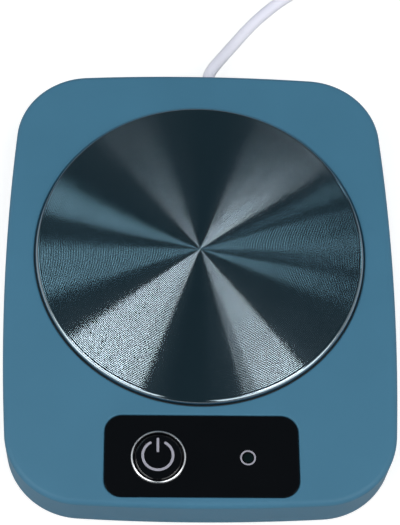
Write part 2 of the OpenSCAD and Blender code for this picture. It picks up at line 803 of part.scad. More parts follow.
module supply_wires() {
  colors = ["#b3231d", "#17181a"];
  low_z = floor_z + 2;
  for (s = [0, 1]) {
    side = 2 * s - 1;
    pin_x = supply_socket_x + 1.5 * side;
    x = cord_x + 0.9 * side;
    y = function(share) between(lead_end_y, socket_y, share);
    color(colors[s]) bar([
      [x, lead_end_y, cord_z], [x, lead_end_y - 1, cord_z], [x, y(0.06), cord_z - 0.4],
      [x, y(0.13), low_z + 0.6], [x, y(0.23), low_z], [x + 0.2 * side, y(0.49), low_z],
      [x + 0.3 * side, y(0.72), low_z], [between(x, pin_x, 0.5) + 0.2 * side, y(0.87), low_z + 0.4],
      [pin_x, socket_y + 7, pin_z - 0.6], [pin_x, socket_y + 3, pin_z], [pin_x, socket_y, pin_z]
    ], 0.7, [1, 0, 0]);
  }
}

module heater_wires() {
  tab_y = plate_y - heater_r - 2;
  color("#d8d5cc") for (s = [-1, 1]) {
    x = heater_socket_x + 1.5 * s;
    tab_x = heater_tab_x + heater_tab_w * s;
    bar([
      [tab_x, tab_y, heater_z], [tab_x, tab_y, heater_z - 2], [tab_x - 0.2 * s, tab_y - 0.4, heater_z - 3.4],
      [x + 0.8 * s, tab_y - 1.8, pin_z + 0.5], [x, tab_y - 4, pin_z], [x, socket_y + 1.5, pin_z],
      [x, socket_y, pin_z]
    ], 0.7, [1, 0, 0]);
  }
}

module sensor_wires() {
  color("#e6e4de") for (s = [-1, 1]) {
    pin_x = sensor_socket_x + 1.5 * s;
    head_z = clamp_z - 1.6;
    low_z = head_z - 1.9;
    x = function(share) between(s, pin_x, share);
    y = function(share) between(plate_y, socket_y, share);
    bar([
      [s, plate_y, head_z], [s, plate_y, head_z - 0.6], [s + 0.3, plate_y - 0.9, head_z - 1.2],
      [s + 1.4, plate_y - 3, head_z - 1.7], [x(0.26), y(0.15), low_z], [x(0.53), y(0.33), low_z],
      [x(0.84), y(0.59), low_z], [x(0.96), socket_y + 8, pin_z + 0.2],
      [pin_x, socket_y + 3, pin_z], [pin_x, socket_y, pin_z]
    ], 0.4, [0.9, 0.3, 0]);
  }
}

// ---------------------------------------------------------------- lead and its anchorage

module lead_end() {
  color("#eceaf2") translate([cord_x, exit_y - relief_l, cord_z]) rotate([90, 0, 0])
    cylinder(r = cord_r, h = exit_y - relief_l - lead_end_y);
}

module cord_clamp() {
  color("#2a2c2f") translate([cord_x, clamp_bar_y, 0]) difference() {
    translate([0, 0, clamp_bar_z]) slab(clamp_bar_w, clamp_bar_l, 1.5, clamp_split_z - clamp_bar_z);
    translate([0, clamp_bar_l, cord_z]) rotate([90, 0, 0])
      cylinder(r = cord_r + screw_play, h = 2 * clamp_bar_l);
    for (s = [-1, 1]) translate([s * clamp_screw_x, 0, 0]) {
      cylinder(d = small_screw_d + 0.3, h = cord_z);
      cylinder(r = small_head_r + fit_gap - 0.1, h = clamp_bar_z + small_head_h + 0.1);
    }
  }
}

module cord_clamp_screws() {
  color("silver") at_cord_screws() translate([0, 0, clamp_bar_z + small_head_h + 0.1])
    screw(small_screw_d, ceil_z - 1.5 - clamp_bar_z - small_head_h, small_head_r, small_head_h);
}

// Relief moulded on the lead: a flange inside, a neck in the wall and a short collar outside
module strain_relief() {
  collar_r = relief_r + 0.5;
  round_r = 0.8;
  color("#e8e6ee") translate([cord_x, exit_y, cord_z]) rotate([90, 0, 0]) rotate_extrude()
    union() {
      square_to(collar_r - round_r, 0, round_r);
      square_to(collar_r, round_r, collar_l);
      translate([collar_r - round_r, round_r]) circle(r = round_r);
      square_to(relief_r, collar_l - 0.1, collar_l + wall + fit_gap + 0.1);
      square_to(relief_flange_r, collar_l + wall + fit_gap, relief_l);
    }
}

// ---------------------------------------------------------------- free lead, coil and plug

module cord_lead() {
  color("#eceaf2") bar(lead_route, cord_r, [0, 0, 1]);
}

module cord_coil() {
  round_r = cord_r;
  inner = coil_r - coil_band / 2;
  color("#e4e2ea") translate([coil_at[0], coil_at[1], 0]) rotate_extrude() {
    translate([inner + round_r, 0]) square([coil_band - 2 * round_r, 2 * cord_d]);
    translate([inner, round_r]) square([coil_band, 2 * (cord_d - round_r)]);
    for (x = [round_r, coil_band - round_r], y = [round_r, 2 * cord_d - round_r])
      translate([inner + x, y]) circle(r = round_r);
  }
}

module cord_tail() {
  color("#eceaf2") bar(tail_route, cord_r, [0, 0, 1]);
}

module cord_tie() {
  color("#26282b") translate([coil_at[0] - coil_r, coil_at[1], 0]) rotate([90, 0, 0])
    linear_extrude(height = tie_w, center = true) difference() {
      translate([-coil_band / 2 - tie_t, 0]) square([coil_band + 2 * tie_t, 2 * cord_d + tie_t]);
      translate([-coil_band / 2, tie_t]) square([coil_band, 2 * cord_d - tie_t]);
    }
}

module usb_housing() {
  nose = 3;
  color("#e8e6ee") translate(plug_at) rotate([0, -90, 0]) {
    translate([0, 0, nose]) difference() {
      slab(plug_h, plug_w, 2, plug_l - nose);
      for (s = [-1, 1], k = [0:4]) translate([s * plug_h / 2, 0, 4 + 2.4 * k]) rotate([90, 0, 0])
        cylinder(r = 0.4, h = plug_w - 5, center = true, $fn = 24);
    }
    cylinder(d1 = cord_d + 1.8, d2 = plug_h - 0.6, h = nose);
  }
}

module usb_shell() {
  color("#cfd3d6") translate(plug_at - [plug_l, 0, 0]) rotate([0, -90, 0]) difference() {
    slab(usb_h, usb_w, 0.5, usb_l);
    translate([0, 0, 0.5]) slab(usb_h - 2 * usb_wall, usb_w - 2 * usb_wall, 0.4, usb_l);
    for (x = [-1, 1], y = [-1, 1]) translate([x * usb_h / 2, y * 2.9, 7]) box(2, 2.5, 2.4);
  }
}

module usb_tongue() {
  color("#f2f2f4") translate(plug_at - [plug_l + 0.5, 0, usb_h / 2 - usb_wall]) rotate([0, -90, 0])
    translate([0.95, 0, 0]) box(1.9, usb_w - 2 * usb_wall - 0.9, usb_l - 1.2);
}

module usb_contacts() {
  color("#d9b45a") for (k = [-1.5:1:1.5])
    translate(plug_at - [plug_l + 0.5, 0, usb_h / 2 - usb_wall]) rotate([0, -90, 0])
      translate([1.95, k * 2.4, 1]) box(0.1, 1.1, usb_l - 3.4);
}

top_cover();
bottom_cover();
feet();
case_screws();
heating_plate();
plate_seal();
plate_screws();
heater_disc();
insulation_disc();
clamp_plate();
clamp_screws();
temperature_sensor();
fuse_sleeve();
fuse_clip();
panel_lens();
button_bezel();
power_button();
switch_plunger();
switch_body();
light_window();
light_emitter();
circuit_board();
board_screws();
control_chip();
power_transistor();
capacitor();
resistors();
wire_sockets();
supply_wires();
heater_wires();
sensor_wires();
lead_end();
cord_clamp();
cord_clamp_screws();
strain_relief();
cord_lead();
cord_coil();
cord_tail();
cord_tie();
usb_housing();
usb_shell();
usb_tongue();
usb_contacts();
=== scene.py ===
import math

import bpy
import numpy as np
from mathutils import Matrix, Vector


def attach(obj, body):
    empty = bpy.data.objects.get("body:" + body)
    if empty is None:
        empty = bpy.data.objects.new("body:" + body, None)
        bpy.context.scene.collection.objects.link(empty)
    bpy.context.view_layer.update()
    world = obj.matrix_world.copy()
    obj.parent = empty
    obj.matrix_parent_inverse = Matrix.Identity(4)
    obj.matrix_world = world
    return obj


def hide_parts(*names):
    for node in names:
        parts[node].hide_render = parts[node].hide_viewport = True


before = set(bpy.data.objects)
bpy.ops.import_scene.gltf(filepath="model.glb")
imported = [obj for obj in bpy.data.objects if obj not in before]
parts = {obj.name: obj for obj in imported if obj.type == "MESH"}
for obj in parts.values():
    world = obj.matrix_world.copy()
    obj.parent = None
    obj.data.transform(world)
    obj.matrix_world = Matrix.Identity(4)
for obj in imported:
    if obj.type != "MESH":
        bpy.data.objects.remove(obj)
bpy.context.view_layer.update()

# ---------------------------------------------------------------- camera
# Stands above the button side of the warmer and looks down on it from a little left of the middle,
# with a long lens and a slight roll.
lens_mm, sensor_mm = 116.21, 36
camera_turn, camera_height, camera_roll = (math.radians(a) for a in (-5.39, 64.0, 5.48))
camera_reach = 0.51037
aim = Vector((-0.00005, 0.00516, 0.0165))

back = Vector((
    math.sin(camera_turn) * math.cos(camera_height),
    -math.cos(camera_turn) * math.cos(camera_height),
    math.sin(camera_height),
))
level = Vector((math.cos(camera_turn), math.sin(camera_turn), 0))
rise = back.cross(level)
across = level * math.cos(camera_roll) + rise * math.sin(camera_roll)
upward = rise * math.cos(camera_roll) - level * math.sin(camera_roll)
camera = bpy.data.objects.new("camera", bpy.data.cameras.new("camera"))
camera.data.sensor_width = sensor_mm
camera.data.lens = lens_mm
camera.matrix_world = Matrix.Translation(aim + back * camera_reach) @ Matrix(
    (across, upward, back)).transposed().to_4x4()
bpy.context.scene.collection.objects.link(camera)
bpy.context.scene.camera = camera

# ---------------------------------------------------------------- supply lead
# A thin round USB lead in a smooth white jacket, 1.2 m long. It leaves the rear wall, drops to the
# table and runs away to a coil of two layers of turns, whose end goes to the plug.
lead_radius = 1.9
jacket_sides = 20
lead_exit = (3.4, 73.7, 8.6)
lead_route = [
    lead_exit, (3.4, 74.7, 8.6), (3.8, 76.6, 8.4), (5.1, 79.6, 7.6), (7, 83, 6.3), (9.6, 87.4, 4.6),
    (12.8, 92.5, 3), (16.6, 98, 2.1), (21.3, 103.5, 1.9), (26.8, 108.8, 1.9), (32.6, 113.4, 1.9),
    (38.6, 117.5, 1.9), (45.8, 121.6, 1.9),
]
tail_route = [
    (33.5, 177.1, 5.7), (27, 177.4, 5.4), (20, 177.7, 4.8), (13, 177.8, 4.2), (8, 177.8, 3.9),
    (6, 177.8, 3.9),
]
coil_middle = (33.5, 148)
coil_start, coil_sweep = -65, 3035
coil_outer_turn, coil_pitch = 29.1, 3.9
climb_turns = 0.25
points_per_turn = 60
route_step = 1.2
strap_lift = 0.8
lift_full, lift_none = 3, 14


def metres(points):
    """Points in millimetres as metres."""
    return np.asarray(points, float) * 0.001


def smooth_route(points, spacing):
    """A smooth curve through given points, with a point about every spacing."""
    p = np.asarray(points, float)
    p = np.vstack([2 * p[0] - p[1], p, 2 * p[-1] - p[-2]])
    out = []
    for a, b, c, d in zip(p, p[1:], p[2:], p[3:]):
        n = max(2, round(np.linalg.norm(c - b) / spacing))
        for t in np.arange(n) / n:
            out.append(0.5 * (2 * b + (c - a) * t + (2 * a - 5 * b + 4 * c - d) * t * t
                              + (3 * b - a - 3 * c + d) * t ** 3))
    return np.vstack([out, p[-2]])


def coil_turns():
    """Centreline of the wound part: inwards on the table, up at the hole, and outwards on top.

    Over the strap, which passes below the coil's left side, the turns rise by strap_lift.
    """
    turns = coil_sweep / 360
    t = np.linspace(0, turns, round(turns * points_per_turn))
    half = turns / 2
    radius = coil_outer_turn - coil_pitch * (half - np.abs(t - half))
    climb = np.clip((t - half + climb_turns) / (2 * climb_turns), 0, 1)
    height = lead_radius + 2 * lead_radius * climb * climb * (3 - 2 * climb)
    angle = np.radians(coil_start) + 2 * math.pi * t
    x, y = coil_middle[0] + radius * np.cos(angle), coil_middle[1] + radius * np.sin(angle)
    from_strap = np.abs(y - coil_middle[1])
    over_strap = np.clip((lift_none - from_strap) / (lift_none - lift_full), 0, 1)
    over_strap *= x < coil_middle[0]
    height += strap_lift * over_strap * over_strap * (3 - 2 * over_strap)
    return np.column_stack([x, y, height])


def piece(name, points, faces, body="case", smooth_angle=35):
    """A mesh piece of the warmer from points in millimetres, riding on a body."""
    mesh = bpy.data.meshes.new(name)
    mesh.from_pydata(metres(points).tolist(), [], [list(f) for f in faces])
    mesh.shade_smooth()
    mesh.set_sharp_from_angle(angle=math.radians(smooth_angle))
    thing = bpy.data.objects.new(name, mesh)
    bpy.context.scene.collection.objects.link(thing)
    if body:
        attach(thing, body)
    return thing


def skin(rings, closed_ends=True):
    """Points and faces of a skin over rings with the same number of points each."""
    n = len(rings[0])
    points = np.vstack(rings)
    faces = [(i * n + k, i * n + (k + 1) % n, (i + 1) * n + (k + 1) % n, (i + 1) * n + k)
             for i in range(len(rings) - 1) for k in range(n)]
    if closed_ends:
        faces += [range(n - 1, -1, -1), range(len(points) - n, len(points))]
    return points, faces


def rings_along(route, radius, sides):
    """Round rings square to a route, turned as little as possible from one to the next."""
    route = np.asarray(route, float)
    ahead = np.gradient(route, axis=0)
    ahead /= np.linalg.norm(ahead, axis=1)[:, None]
    side = np.cross(ahead[0], (0, 0, 1))
    around = np.arange(sides) * 2 * math.pi / sides
    rings = []
    for at, way in zip(route, ahead):
        side = side - way * (side @ way)
        side /= np.linalg.norm(side)
        top = np.cross(side, way)
        rings.append(at + radius * (np.outer(np.cos(around), side)
                                    + np.outer(np.sin(around), top)))
    return rings


def finish(name, colour, rough, metal=0.0, cloud=(90, 0.05), rough_play=0.06, grain=(2500, 0.01),
           stretch=(1, 1, 1), coat=0.0, gloss_level=0.5):
    """A moulded, plated or painted finish: cloudy tone, uneven gloss and a fine grain in relief.

    cloud is (patches per metre, share of tone), grain is (grains per metre, height in millimetres),
    and stretch pulls the grain out along an axis, as rolling and brushing do.
    """
    material = bpy.data.materials.new(name)
    material.use_nodes = True
    nodes, links = material.node_tree.nodes, material.node_tree.links
    shader = nodes["Principled BSDF"]
    shader.inputs["Metallic"].default_value = metal
    shader.inputs["Specular IOR Level"].default_value = gloss_level
    shader.inputs["Coat Weight"].default_value = coat
    shader.inputs["Coat Roughness"].default_value = 0.05
    place = nodes.new("ShaderNodeTexCoord").outputs["Object"]

    tone = nodes.new("ShaderNodeTexNoise")
    tone.inputs["Scale"].default_value = cloud[0]
    tone.inputs["Detail"].default_value = 3
    ramp = nodes.new("ShaderNodeValToRGB")
    for stop, at, share in zip(ramp.color_ramp.elements, (0.3, 0.7), (1 - cloud[1], 1 + cloud[1])):
        stop.position = at
        stop.color = (*[min(1, c * share) for c in colour], 1)
    links.new(place, tone.inputs["Vector"])
    links.new(tone.outputs["Fac"], ramp.inputs["Fac"])
    links.new(ramp.outputs["Color"], shader.inputs["Base Color"])

    gloss = nodes.new("ShaderNodeMapRange")
    gloss.inputs["To Min"].default_value = max(0.02, rough - rough_play)
    gloss.inputs["To Max"].default_value = min(1, rough + rough_play)
    links.new(tone.outputs["Fac"], gloss.inputs["Value"])
    links.new(gloss.outputs["Result"], shader.inputs["Roughness"])

    pull = nodes.new("ShaderNodeMapping")
    pull.inputs["Scale"].default_value = stretch
    fine = nodes.new("ShaderNodeTexNoise")
    fine.inputs["Scale"].default_value = grain[0]
    fine.inputs["Detail"].default_value = 2
    relief = nodes.new("ShaderNodeBump")
    relief.inputs["Strength"].default_value = 1
    relief.inputs["Distance"].default_value = grain[1] * 0.001
    links.new(place, pull.inputs["Vector"])
    links.new(pull.outputs["Vector"], fine.inputs["Vector"])
    links.new(fine.outputs["Fac"], relief.inputs["Height"])
    links.new(relief.outputs["Normal"], shader.inputs["Normal"])
    return material


def dress(thing, material):
    """Puts a finish on a piece."""
    thing.data.materials.clear()
    thing.data.materials.append(material)


def dress_nodes(material, *names):
    """Puts a finish in the slots of CAD nodes."""
    for name in names:
        for slot in parts[name].material_slots:
            slot.material = material


jacket_white = finish("jacket_white", (0.90, 0.88, 1.0), 0.4, cloud=(60, 0.03), grain=(900, 0.006))

lead_line = np.vstack([smooth_route(lead_route, route_step)[:-1], coil_turns()[:-1],
                       smooth_route(tail_route, route_step)])
lead = piece("supply_lead", *skin(rings_along(lead_line, lead_radius, jacket_sides)))
dress(lead, jacket_white)
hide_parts("cord_lead", "cord_coil", "cord_tail")
dress_nodes(jacket_white, "lead_end", "strain_relief")
parts["strain_relief"].modifiers.new("flat_faces", "WEIGHTED_NORMAL").keep_sharp = True

# ---------------------------------------------------------------- tie and plug
# A black hook-and-loop strap holds the coil and laps over itself on top. The plug is a nickel
# shell with a white tongue and gilt contacts, in a soft white grip moulded over shell and lead.
strap_width, strap_thick, strap_edge_r = 5, 0.8, 0.3
strap_y = 148
strap_inside = (2.5, 22.7)
strap_corner, strap_corner_steps = 2.2, 10
strap_first = 22
lap_route = ((3.5, 0.1), (6, 0.6), (9, 0.88), (13, 0.86), (15.5, 1.0))
grip_y, grip_z = 177.8, 3.9
neck_sections = ((6, 2.1), (5.9, 2.45), (5.6, 2.6), (3.6, 2.9))
shoulder_sections = ((3.1, 0.12), (2.8, 0.45), (2.3, 0.78), (1.6, 0.95), (0.8, 1))
mouth_sections = ((-15.2, 0), (-15.55, 0.1), (-15.85, 0.4), (-16, 0.9))
neck_half_width, neck_half_height, neck_corner = 3.1, 2.95, 2.9
grip_half_width, grip_half_height, grip_corner = 7.8, 3.9, 2.3
ribbed_from, ribbed_to, rib_step = 0.2, -13.4, 0.3
grip_ribs = [-1 - 2.4 * k for k in range(5)]
rib_depth, rib_half_width = 0.38, 0.62


def slab_outline(middle, width, length, radius, steps=12):
    """Outline of a slab with round corners, counter-clockwise from the lower right one."""
    x, y = width / 2 - radius, length / 2 - radius
    out = []
    for k, (right, up) in enumerate(((1, -1), (1, 1), (-1, 1), (-1, -1))):
        t = np.radians(90 * k - 90 + np.linspace(0, 90, steps))
        out.append(np.column_stack([middle[0] + right * x + radius * np.cos(t),
                                    middle[1] + up * y + radius * np.sin(t)]))
    return np.vstack(out)


def strap_line():
    """Middle line of the strap in x and z, once round the coil's two layers and over its start."""
    left, right = strap_inside[0] - strap_thick / 2, strap_inside[1] + strap_thick / 2
    low, high = strap_thick / 2, 4 * lead_radius + 1.5 * strap_thick
    loop = slab_outline(((left + right) / 2, (low + high) / 2), right - left, high - low,
                        strap_corner, strap_corner_steps)
    loop = np.roll(loop, -strap_first, axis=0)
    start = [(left + 13, high), (left + 8, high)]
    lap = [(left + x, high + z) for x, z in lap_route]
    return np.vstack([start, loop, lap])


strap_path = strap_line()
strap_ahead = np.gradient(strap_path, axis=0)
strap_ahead /= np.linalg.norm(strap_ahead, axis=1)[:, None]
strap_out = np.column_stack([strap_ahead[:, 1], -strap_ahead[:, 0]])
strap_section = slab_outline((0, 0), strap_width, strap_thick, strap_edge_r, 4)
strap = piece("coil_strap", *skin([
    np.column_stack([at[0] + out[0] * strap_section[:, 1],
                     strap_y + strap_section[:, 0],
                     at[1] + out[1] * strap_section[:, 1]])
    for at, out in zip(strap_path, strap_out)]))
tie_black = finish("tie_black", (0.013, 0.013, 0.015), 0.85, cloud=(700, 0.35), grain=(2600, 0.25))
dress(strap, tie_black)
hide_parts("cord_tie")


def grip_ring(x, half_width, half_height, corner):
    """One section of the grip, square to the lead."""
    ring = slab_outline((grip_y, grip_z), 2 * half_width, 2 * half_height, corner, 9)
    return np.column_stack([np.full(len(ring), x), ring])


def between(start, end, share):
    """The value at a share of the way from start to end."""
    return start + (end - start) * share


grip_rings = [grip_ring(x, r, r, r - 0.01) for x, r in neck_sections]
for x, share in shoulder_sections:
    grip_rings.append(grip_ring(x, between(neck_half_width, grip_half_width, share),
                                between(neck_half_height, grip_half_height, share),
                                between(neck_corner, grip_corner, share)))
for x in np.arange(ribbed_from, ribbed_to, -rib_step):
    from_rib = min(abs(x - rib) for rib in grip_ribs)
    dip = rib_depth * max(0, 1 - from_rib / rib_half_width) ** 0.6
    grip_rings.append(grip_ring(x, grip_half_width - 0.4 * dip, grip_half_height - dip,
                                grip_corner))
for x, inset in mouth_sections:
    grip_rings.append(grip_ring(x, grip_half_width - inset, grip_half_height - inset,
                                grip_corner - inset))
grip = piece("plug_grip", *skin([r[::-1] for r in grip_rings][::-1]))
dress(grip, jacket_white)
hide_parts("usb_housing")

plug_nickel = finish("plug_nickel", (0.62, 0.63, 0.65), 0.2, metal=1.0, grain=(900, 0.002))
tongue_white = finish("tongue_white", (0.8, 0.8, 0.78), 0.35)
contact_gold = finish("contact_gold", (0.75, 0.5, 0.15), 0.22, metal=1.0)
dress_nodes(plug_nickel, "usb_shell")
dress_nodes(tongue_white, "usb_tongue")
dress_nodes(contact_gold, "usb_contacts")

# ---------------------------------------------------------------- bottom cover, feet and screws
# A blue moulded lid with vent slots, screwed up into the case from four wells. It stands on four
# glued rubber feet.
case_blue = finish("case_blue", (0.056, 0.171, 0.263), 0.40, cloud=(45, 0.03), rough_play=0.04,
                   grain=(5200, 0.012), gloss_level=0.18)
foot_rubber = finish("foot_rubber", (0.010, 0.010, 0.011), 0.8, grain=(2600, 0.05))
screw_steel = finish("screw_steel", (0.50, 0.51, 0.54), 0.3, metal=1.0, grain=(3000, 0.004))
dress_nodes(case_blue, "bottom_cover")
dress_nodes(foot_rubber, "feet")
dress_nodes(screw_steel, "case_screws", "plate_screws", "clamp_screws", "board_screws",
            "cord_clamp_screws")

# ---------------------------------------------------------------- circuit board and wires
# A small green board hangs from the top cover below the panel and carries the switch, the light,
# the chips and three sockets, whose wires run to the lead, the heater and the sensor.
board_green = finish("board_green", (0.012, 0.085, 0.035), 0.35, coat=0.3)
part_black = finish("part_black", (0.012, 0.012, 0.013), 0.5)
capacitor_can = finish("capacitor_can", (0.6, 0.61, 0.62), 0.3, metal=1.0)
socket_cream = finish("socket_cream", (0.78, 0.72, 0.58), 0.5)
wire_red = finish("wire_red", (0.38, 0.02, 0.015), 0.45)
wire_white = finish("wire_white", (0.72, 0.70, 0.66), 0.5)
dress_nodes(board_green, "circuit_board")
dress_nodes(part_black, "control_chip", "power_transistor", "resistors", "switch_body",
            "cord_clamp")
dress_nodes(capacitor_can, "capacitor")
dress_nodes(socket_cream, "wire_sockets", "switch_plunger")
dress_nodes(tongue_white, "light_emitter")
dress_nodes(wire_red, "supply_wires")
dress_nodes(wire_white, "heater_wires", "sensor_wires")

# ---------------------------------------------------------------- heater stack
# A mica heating disc under the plate, a fibre disc that insulates it, and a pressed steel clamp
# plate screwed to three studs, with the sensor in its middle and a fuse in a ceramic sleeve.
mica = finish("mica", (0.42, 0.32, 0.14), 0.45, cloud=(220, 0.25))
fibre = finish("fibre", (0.70, 0.66, 0.55), 0.95, grain=(1500, 0.25))
bracket_steel = finish("bracket_steel", (0.38, 0.39, 0.41), 0.35, metal=1.0, stretch=(1, 12, 1))
ceramic_white = finish("ceramic_white", (0.84, 0.80, 0.70), 0.6)
seal_rubber = finish("seal_rubber", (0.003, 0.012, 0.018), 0.55)
dress_nodes(mica, "heater_disc")
dress_nodes(fibre, "insulation_disc")
dress_nodes(bracket_steel, "clamp_plate", "temperature_sensor", "fuse_clip")
dress_nodes(ceramic_white, "fuse_sleeve")
dress_nodes(seal_rubber, "plate_seal")

# ---------------------------------------------------------------- heating plate
# Cast aluminium disc, its face turned in fine round grooves and dyed teal, with a bright edge.
# Its flange lies on the seal below the cover and its cup holds the heater.
plate_middle = (0, 9)
groove_pitch, first_groove_r = 0.5, 0.25
grooves = 96
dimple_r, dimple_depth = 0.12, 0.05
around_plate = 240
groove_slope_inner, groove_slope_outer = 14.4, 11.8
face_z, plate_r, plate_edge_r = 17.9, 49.6, 1.1
flange_r, flange_top, flange_bottom = 52.4, 14.1, 12.7
cup_r, cup_top = 47.4, 15.5


def circle(radius, z, steps, middle=(0, 0)):
    """One level ring of points round a middle."""
    t = np.arange(steps) * 2 * math.pi / steps
    return np.column_stack([middle[0] + radius * np.cos(t), middle[1] + radius * np.sin(t),
                            np.full(steps, z)])


def plate_profile():
    """Radius and height from the middle out over the grooves, round the edge and down the rim."""
    profile = [(dimple_r, face_z - dimple_depth), (first_groove_r, face_z)]
    for k in range(grooves):
        start = first_groove_r + k * groove_pitch
        slope = between(groove_slope_inner, groove_slope_outer, k / grooves)
        depth = groove_pitch / 2 * math.tan(math.radians(slope))
        profile += [(start + groove_pitch * s, face_z - depth * d)
                    for s, d in ((0.25, 0.5), (0.5, 1), (0.75, 0.5), (1, 0))]
    profile += [(plate_r - plate_edge_r * (1 - math.sin(t)),
                 face_z - plate_edge_r * (1 - math.cos(t)))
                for t in np.radians(np.linspace(0, 90, 7))]
    return profile + [(plate_r, flange_top), (flange_r, flange_top), (flange_r, flange_bottom),
                      (cup_r, flange_bottom), (cup_r, cup_top)]


plate = piece("turned_plate", *skin([
    circle(r, z, around_plate, plate_middle) for r, z in plate_profile()]), smooth_angle=41)
plate_teal = finish("plate_teal", (0.278, 0.343, 0.387), 0.13, metal=1.0, cloud=(60, 0.03),
                    rough_play=0.012, grain=(400, 0.0))
nodes, links = plate_teal.node_tree.nodes, plate_teal.node_tree.links
shader = nodes["Principled BSDF"]
shader.inputs["Anisotropic"].default_value = 1
shader.inputs["Anisotropic Rotation"].default_value = 0.25
round_the_middle = nodes.new("ShaderNodeTangent")
round_the_middle.direction_type, round_the_middle.axis = "RADIAL", "Z"
links.new(round_the_middle.outputs[0], shader.inputs["Tangent"])
dress(plate, plate_teal)
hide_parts("heating_plate")

# ---------------------------------------------------------------- top cover
# The blue moulded shell: bowed walls, a rounded upper edge, a round opening with a soft lip for the
# plate and a recess for the panel. Inside are the bosses that every screw goes into.
side_bow, side_bow_x, side_turn = 670, -611.5, 4.253
end_bow, end_bow_y, end_turn = 620, -548.5, 3.283
corner_at, corner_radius = (34.217, 48.0194), 22.5
rim_z, ceiling_z, case_top, case_edge_r = 2.1, 14.5, 16.5, 1.7
rim_edge = [(0.3, 0), (0.09, 0.09), (0, 0.3)]
wall = 2.2
opening_r, opening_lip_r = 50, 0.55
panel_at, panel_size, panel_corner = (0, -56.1), (55.9, 24.7), 5.15
recess_floor, recess_lip_r = 15.25, 0.45
pad_size, pad_corner, pad_bottom = (53.6, 22.4), 4, 13.5
button_at, button_hole_r = (-12.4, -56.65), 7.55
light_at, light_hole_r = (13.3, -56.65), 1.9
panel_holes_from, panel_holes_to = 9, 16
notch_r, notch_from, notch_to = 2.95, 68.3, 72.5
boss_root = 14.7
# Bosses for the plate's, board's, case's and clamp's screws, each with its places, its radius and
# lower end, and its screw hole's radius and upper end.
bosses = [
    ([(x * 38.96, 9 + y * 38.96) for x in (-1, 1) for y in (-1, 1)], 2.4, 12.75, 1.05, 15.7),
    ([(x * 23.2, -56.1 + y * 8.2) for x in (-1, 1) for y in (-1, 1)], 2.2, 7.9, 1.05, 12.9),
    ([(x * 45.036, y * 58.838) for x in (-1, 1) for y in (-1, 1)], 3.2, 6.3, 1.35, 13.5),
    ([(-3, 65.35), (9.8, 65.35)], 2.2, 8.45, 1.05, 13.5),
]


def arc(middle, radius, start, end, steps):
    """Points along an arc, without its last one."""
    t = np.radians(np.linspace(start, end, steps, endpoint=False))
    return np.column_stack([middle[0] + radius * np.cos(t), middle[1] + radius * np.sin(t)])


def case_outline(inset):
    """The bowed outline of the case, drawn in by inset."""
    x, y = corner_at
    half = np.vstack([
        arc((side_bow_x, 0), side_bow - inset, -side_turn, side_turn, 24),
        arc((x, y), corner_radius - inset, side_turn, 90 - end_turn, 40),
        arc((0, end_bow_y), end_bow - inset, 90 - end_turn, 90 + end_turn, 24),
        arc((-x, y), corner_radius - inset, 90 + end_turn, 180 - side_turn, 40)])
    return np.vstack([half, -half])


def at_height(outline, z):
    """A level ring from an outline."""
    return np.column_stack([outline, np.full(len(outline), z)])


def together(*solids):
    """Points and faces of solids that don't touch, as one."""
    points, faces = [], []
    for p, f in solids:
        faces += [[len(points) + i for i in face] for face in f]
        points += np.asarray(p).tolist()
    return np.array(points), faces


def posts(places, radius, low, high, steps=32):
    """Points and faces of a row of round posts or holes."""
    return together(*(skin([circle(radius, z, steps, place) for z in (low, high)])
                      for place in places))


def carve(thing, *steps):
    """Adds solids to a piece or cuts them from it, each given as a word, its points and faces."""
    tools = []
    for word, solid in steps:
        tool = piece("tool", *solid, body=None)
        cut = thing.modifiers.new(word, "BOOLEAN")
        cut.operation, cut.solver, cut.object = word, "EXACT", tool
        tools.append(tool)
    shaped = bpy.data.meshes.new_from_object(
        thing.evaluated_get(bpy.context.evaluated_depsgraph_get()))
    thing.modifiers.clear()
    thing.data = shaped
    for tool in tools:
        bpy.data.objects.remove(tool)


def soften(thing, angle=30):
    """Smooth shading that keeps flat faces flat and edges over an angle sharp."""
    thing.data.shade_smooth()
    thing.data.set_sharp_from_angle(angle=math.radians(angle))
    thing.modifiers.new("flat_faces", "WEIGHTED_NORMAL").keep_sharp = True


rounding = np.radians(np.linspace(0, 90, 9))
cover = piece("case_cover", *skin(
    [at_height(case_outline(inset), rim_z + up) for inset, up in rim_edge]
    + [at_height(case_outline(case_edge_r * (1 - math.cos(t))),
                 case_top - case_edge_r + case_edge_r * math.sin(t)) for t in rounding]))
hollow = skin([at_height(case_outline(i), z)
               for i, z in ((wall, 0), (wall, 13.9), (wall + 0.2, 14.3), (wall + 0.6, ceiling_z))])
opening_lip = [(opening_r + opening_lip_r * (1 + math.cos(t)),
                case_top - opening_lip_r * (1 - math.sin(t)))
               for t in np.radians(np.linspace(180, 90, 7))]
opening = skin([circle(r, z, around_plate, plate_middle) for r, z in (
    (opening_r, 0), *opening_lip, (opening_r + opening_lip_r, case_top + 1.5))])
recess_lip = [(recess_lip_r * (1 - math.cos(t)), case_top - recess_lip_r * (1 - math.sin(t)))
              for t in rounding[::2]]
recess = skin([
    at_height(slab_outline(panel_at, panel_size[0] + 2 * gap, panel_size[1] + 2 * gap,
                           panel_corner + gap), z)
    for gap, z in ((0, recess_floor), *recess_lip, (recess_lip_r, case_top + 0.5))])
pad = skin([at_height(slab_outline(panel_at, *pad_size, pad_corner), z)
            for z in (pad_bottom, boss_root)])
arch = np.vstack([arc((0, 0), notch_r, 0, 180, 24),
                  [(-notch_r, -lead_exit[2]), (notch_r, -lead_exit[2])]])
relief_notch = skin([
    np.column_stack([arch[:, 0] + lead_exit[0], np.full(len(arch), y), arch[:, 1] + lead_exit[2]])
    for y in (notch_to, notch_from)])
